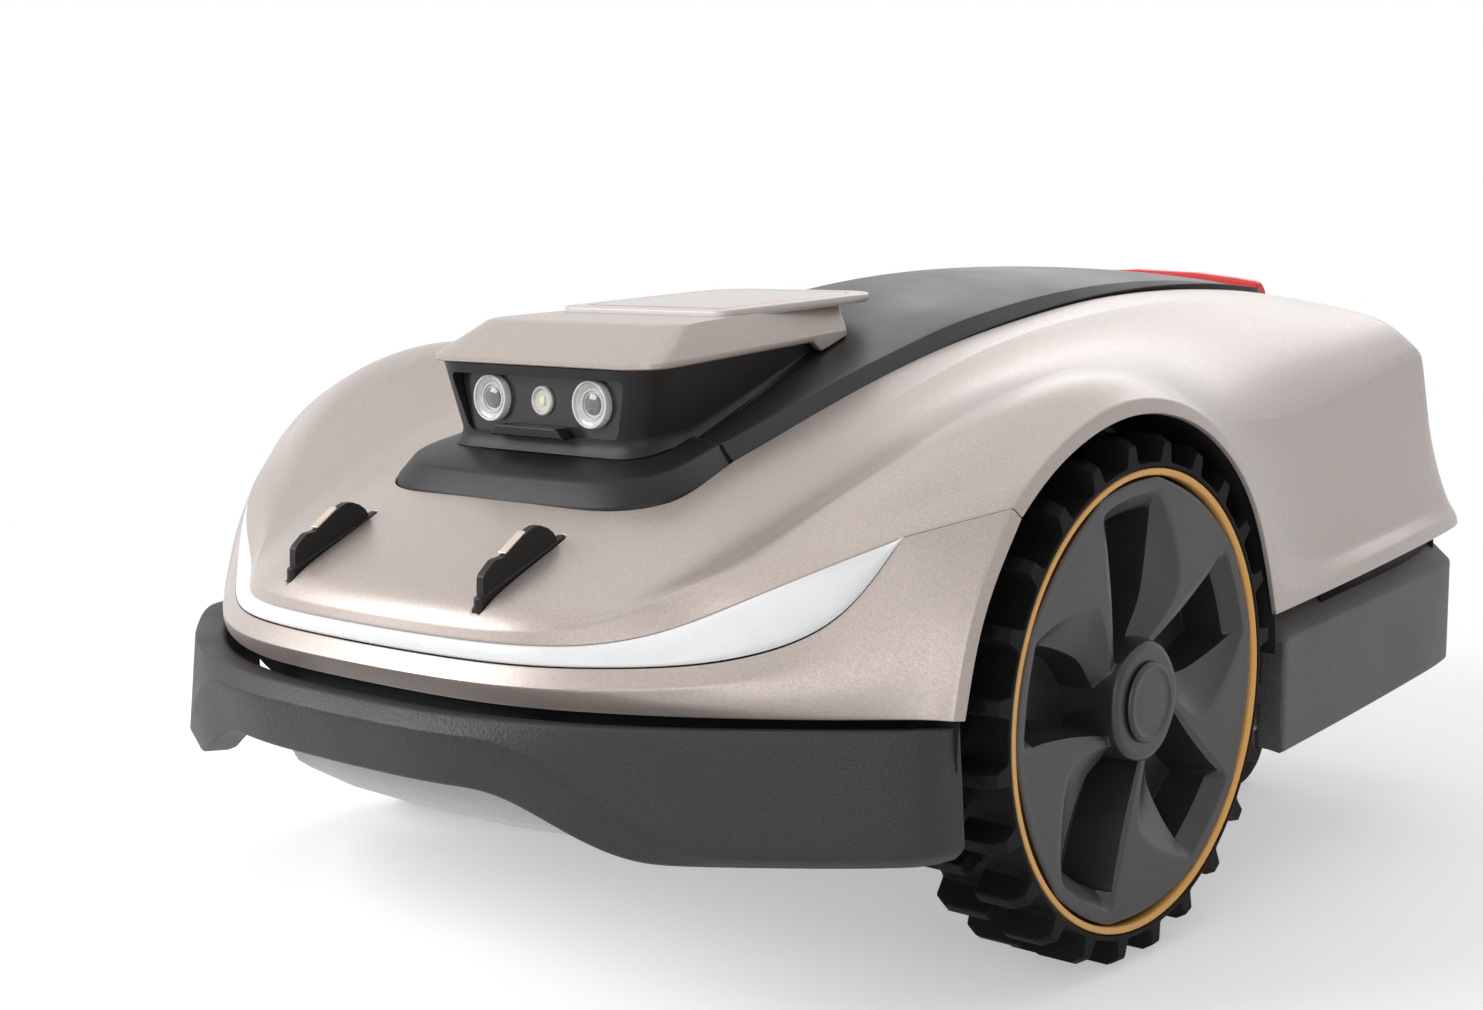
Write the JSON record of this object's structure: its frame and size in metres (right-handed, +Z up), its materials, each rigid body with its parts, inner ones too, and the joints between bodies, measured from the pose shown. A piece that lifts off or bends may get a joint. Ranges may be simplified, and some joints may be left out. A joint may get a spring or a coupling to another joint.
{
  "type": "robotic lawn mower",
  "caption": "Robotic lawn mower with a domed shell, camera turret, lugged drive wheels, sprung bumper, swivel casters and a height-adjustable disc of pivoting blades.",
  "frame": {"origin": "on the ground under the middle of the bounding box", "axes": "+Z up, nose towards -Y, +X to the machine's left"},
  "size_m": [0.533, 0.7306, 0.335],
  "materials": {
    "champagne_shell": "fine metallic flake paint, satin",
    "black_plastic": "grained satin",
    "grey_plastic": "coarse grain",
    "wheel_plastic": "satin",
    "pale_plastic": "fine grain",
    "light_diffuser": "milky satin",
    "tyre_rubber": "matt",
    "caster_rubber": "matt",
    "orange_trim": "satin",
    "red_key": "satin",
    "copper_trim": "satin",
    "contact_metal": "polished",
    "camera_glass": "coated",
    "camera_black": "polished",
    "lamp_white": "satin",
    "steel": "turned",
    "motor_can": "satin",
    "board_green": "satin",
    "battery_case": "satin"
  },
  "bodies": {
    "body": {"accent_gasket": "copper_trim", "battery_pack": "battery_case", "camera_lamp": "lamp_white", "camera_lens_left": "camera_glass", "camera_lens_right": "camera_glass", "camera_plate": "camera_black", "chassis": "pale_plastic", "contact_fin_left": "black_plastic", "contact_fin_right": "black_plastic", "contact_strip_left": "contact_metal", "contact_strip_right": "contact_metal", "control_frame": "champagne_shell", "cover_mount_front_left": "caster_rubber", "cover_mount_front_right": "caster_rubber", "cover_mount_rear_left": "caster_rubber", "cover_mount_rear_right": "caster_rubber", "drive_motor_left": "motor_can", "drive_motor_right": "motor_can", "front_fascia": "champagne_shell", "hood_shell": "champagne_shell", "lift_bridge": "grey_plastic", "lift_motor": "motor_can", "light_bar": "light_diffuser", "main_board": "board_green", "rear_skirt": "grey_plastic", "spine_panel": "black_plastic", "touch_panel": "champagne_shell", "turret_base": "black_plastic", "turret_cap": "champagne_shell", "turret_housing": "black_plastic"},
    "bumper": {"front_bumper": "grey_plastic", "bumper_pin_left": "steel", "bumper_pin_right": "steel"},
    "stop_key": {"stop_button": "red_key"},
    "lift": {"lift_carriage": "grey_plastic", "blade_motor": "motor_can"},
    "lift_spindle": {"lift_screw": "steel"},
    "disc": {"blade_disc": "grey_plastic", "blade_screw_1": "steel", "blade_screw_2": "steel", "blade_screw_3": "steel"},
    "cutter_1": {"blade_1": "steel"},
    "cutter_2": {"blade_2": "steel"},
    "cutter_3": {"blade_3": "steel"},
    "wheel_left": {"tyre_left": "tyre_rubber", "wheel_cover_left": "wheel_plastic", "accent_ring_left": "orange_trim", "hub_cap_left": "wheel_plastic", "axle_left": "steel"},
    "caster_left": {"caster_fork_left": "grey_plastic"},
    "roller_left": {"caster_wheel_left": "caster_rubber"},
    "wheel_right": {"tyre_right": "tyre_rubber", "wheel_cover_right": "wheel_plastic", "accent_ring_right": "orange_trim", "hub_cap_right": "wheel_plastic", "axle_right": "steel"},
    "caster_right": {"caster_fork_right": "grey_plastic"},
    "roller_right": {"caster_wheel_right": "caster_rubber"}
  },
  "joints": [
    {"name": "bumper_press", "type": "slide", "parent": "body", "child": "bumper", "axis": [0, 1, 0], "range_m": [0, 0.006], "stiffness_N_per_m": 1500, "springref_m": -0.002},
    {"name": "stop_press", "type": "slide", "parent": "body", "child": "stop_key", "axis": [0, 0, -1], "range_m": [0, 0.004], "stiffness_N_per_m": 1500, "springref_m": -0.006},
    {"name": "lift_height", "type": "slide", "parent": "body", "child": "lift", "axis": [0, 0, 1], "range_m": [-0.015, 0.015]},
    {"name": "lift_spindle_turn", "type": "hinge", "parent": "body", "child": "lift_spindle", "pos_m": [0.058, 0.072, 0.11], "axis": [0, 0, 1], "range_deg": [-340, 340]},
    {"name": "disc_spin", "type": "hinge", "parent": "lift", "child": "disc", "pos_m": [0, 0.072, 0.055], "axis": [0, 0, 1], "continuous": true},
    {"name": "blade_swing_1", "type": "hinge", "parent": "disc", "child": "cutter_1", "pos_m": [0, 0.168, 0.0508], "axis": [0, 0, 1], "continuous": true},
    {"name": "blade_swing_2", "type": "hinge", "parent": "disc", "child": "cutter_2", "pos_m": [-0.08314, 0.024, 0.0508], "axis": [0, 0, 1], "continuous": true},
    {"name": "blade_swing_3", "type": "hinge", "parent": "disc", "child": "cutter_3", "pos_m": [0.08314, 0.024, 0.0508], "axis": [0, 0, 1], "continuous": true},
    {"name": "wheel_turn_left", "type": "hinge", "parent": "body", "child": "wheel_left", "pos_m": [0.23, -0.074, 0.13], "axis": [1, 0, 0], "continuous": true},
    {"name": "caster_swivel_left", "type": "hinge", "parent": "body", "child": "caster_left", "pos_m": [0.118, 0.245, 0.11], "axis": [0, 0, 1], "continuous": true},
    {"name": "roller_turn_left", "type": "hinge", "parent": "caster_left", "child": "roller_left", "pos_m": [0.118, 0.273, 0.034], "axis": [1, 0, 0], "continuous": true},
    {"name": "wheel_turn_right", "type": "hinge", "parent": "body", "child": "wheel_right", "pos_m": [-0.23, -0.074, 0.13], "axis": [1, 0, 0], "continuous": true},
    {"name": "caster_swivel_right", "type": "hinge", "parent": "body", "child": "caster_right", "pos_m": [-0.118, 0.245, 0.11], "axis": [0, 0, 1], "continuous": true},
    {"name": "roller_turn_right", "type": "hinge", "parent": "caster_right", "child": "roller_right", "pos_m": [-0.118, 0.273, 0.034], "axis": [1, 0, 0], "continuous": true}
  ],
  "couplings": [
    {"joint": "lift_spindle_turn", "follows": "lift_height", "rad_per_m": 392.7}
  ]
}
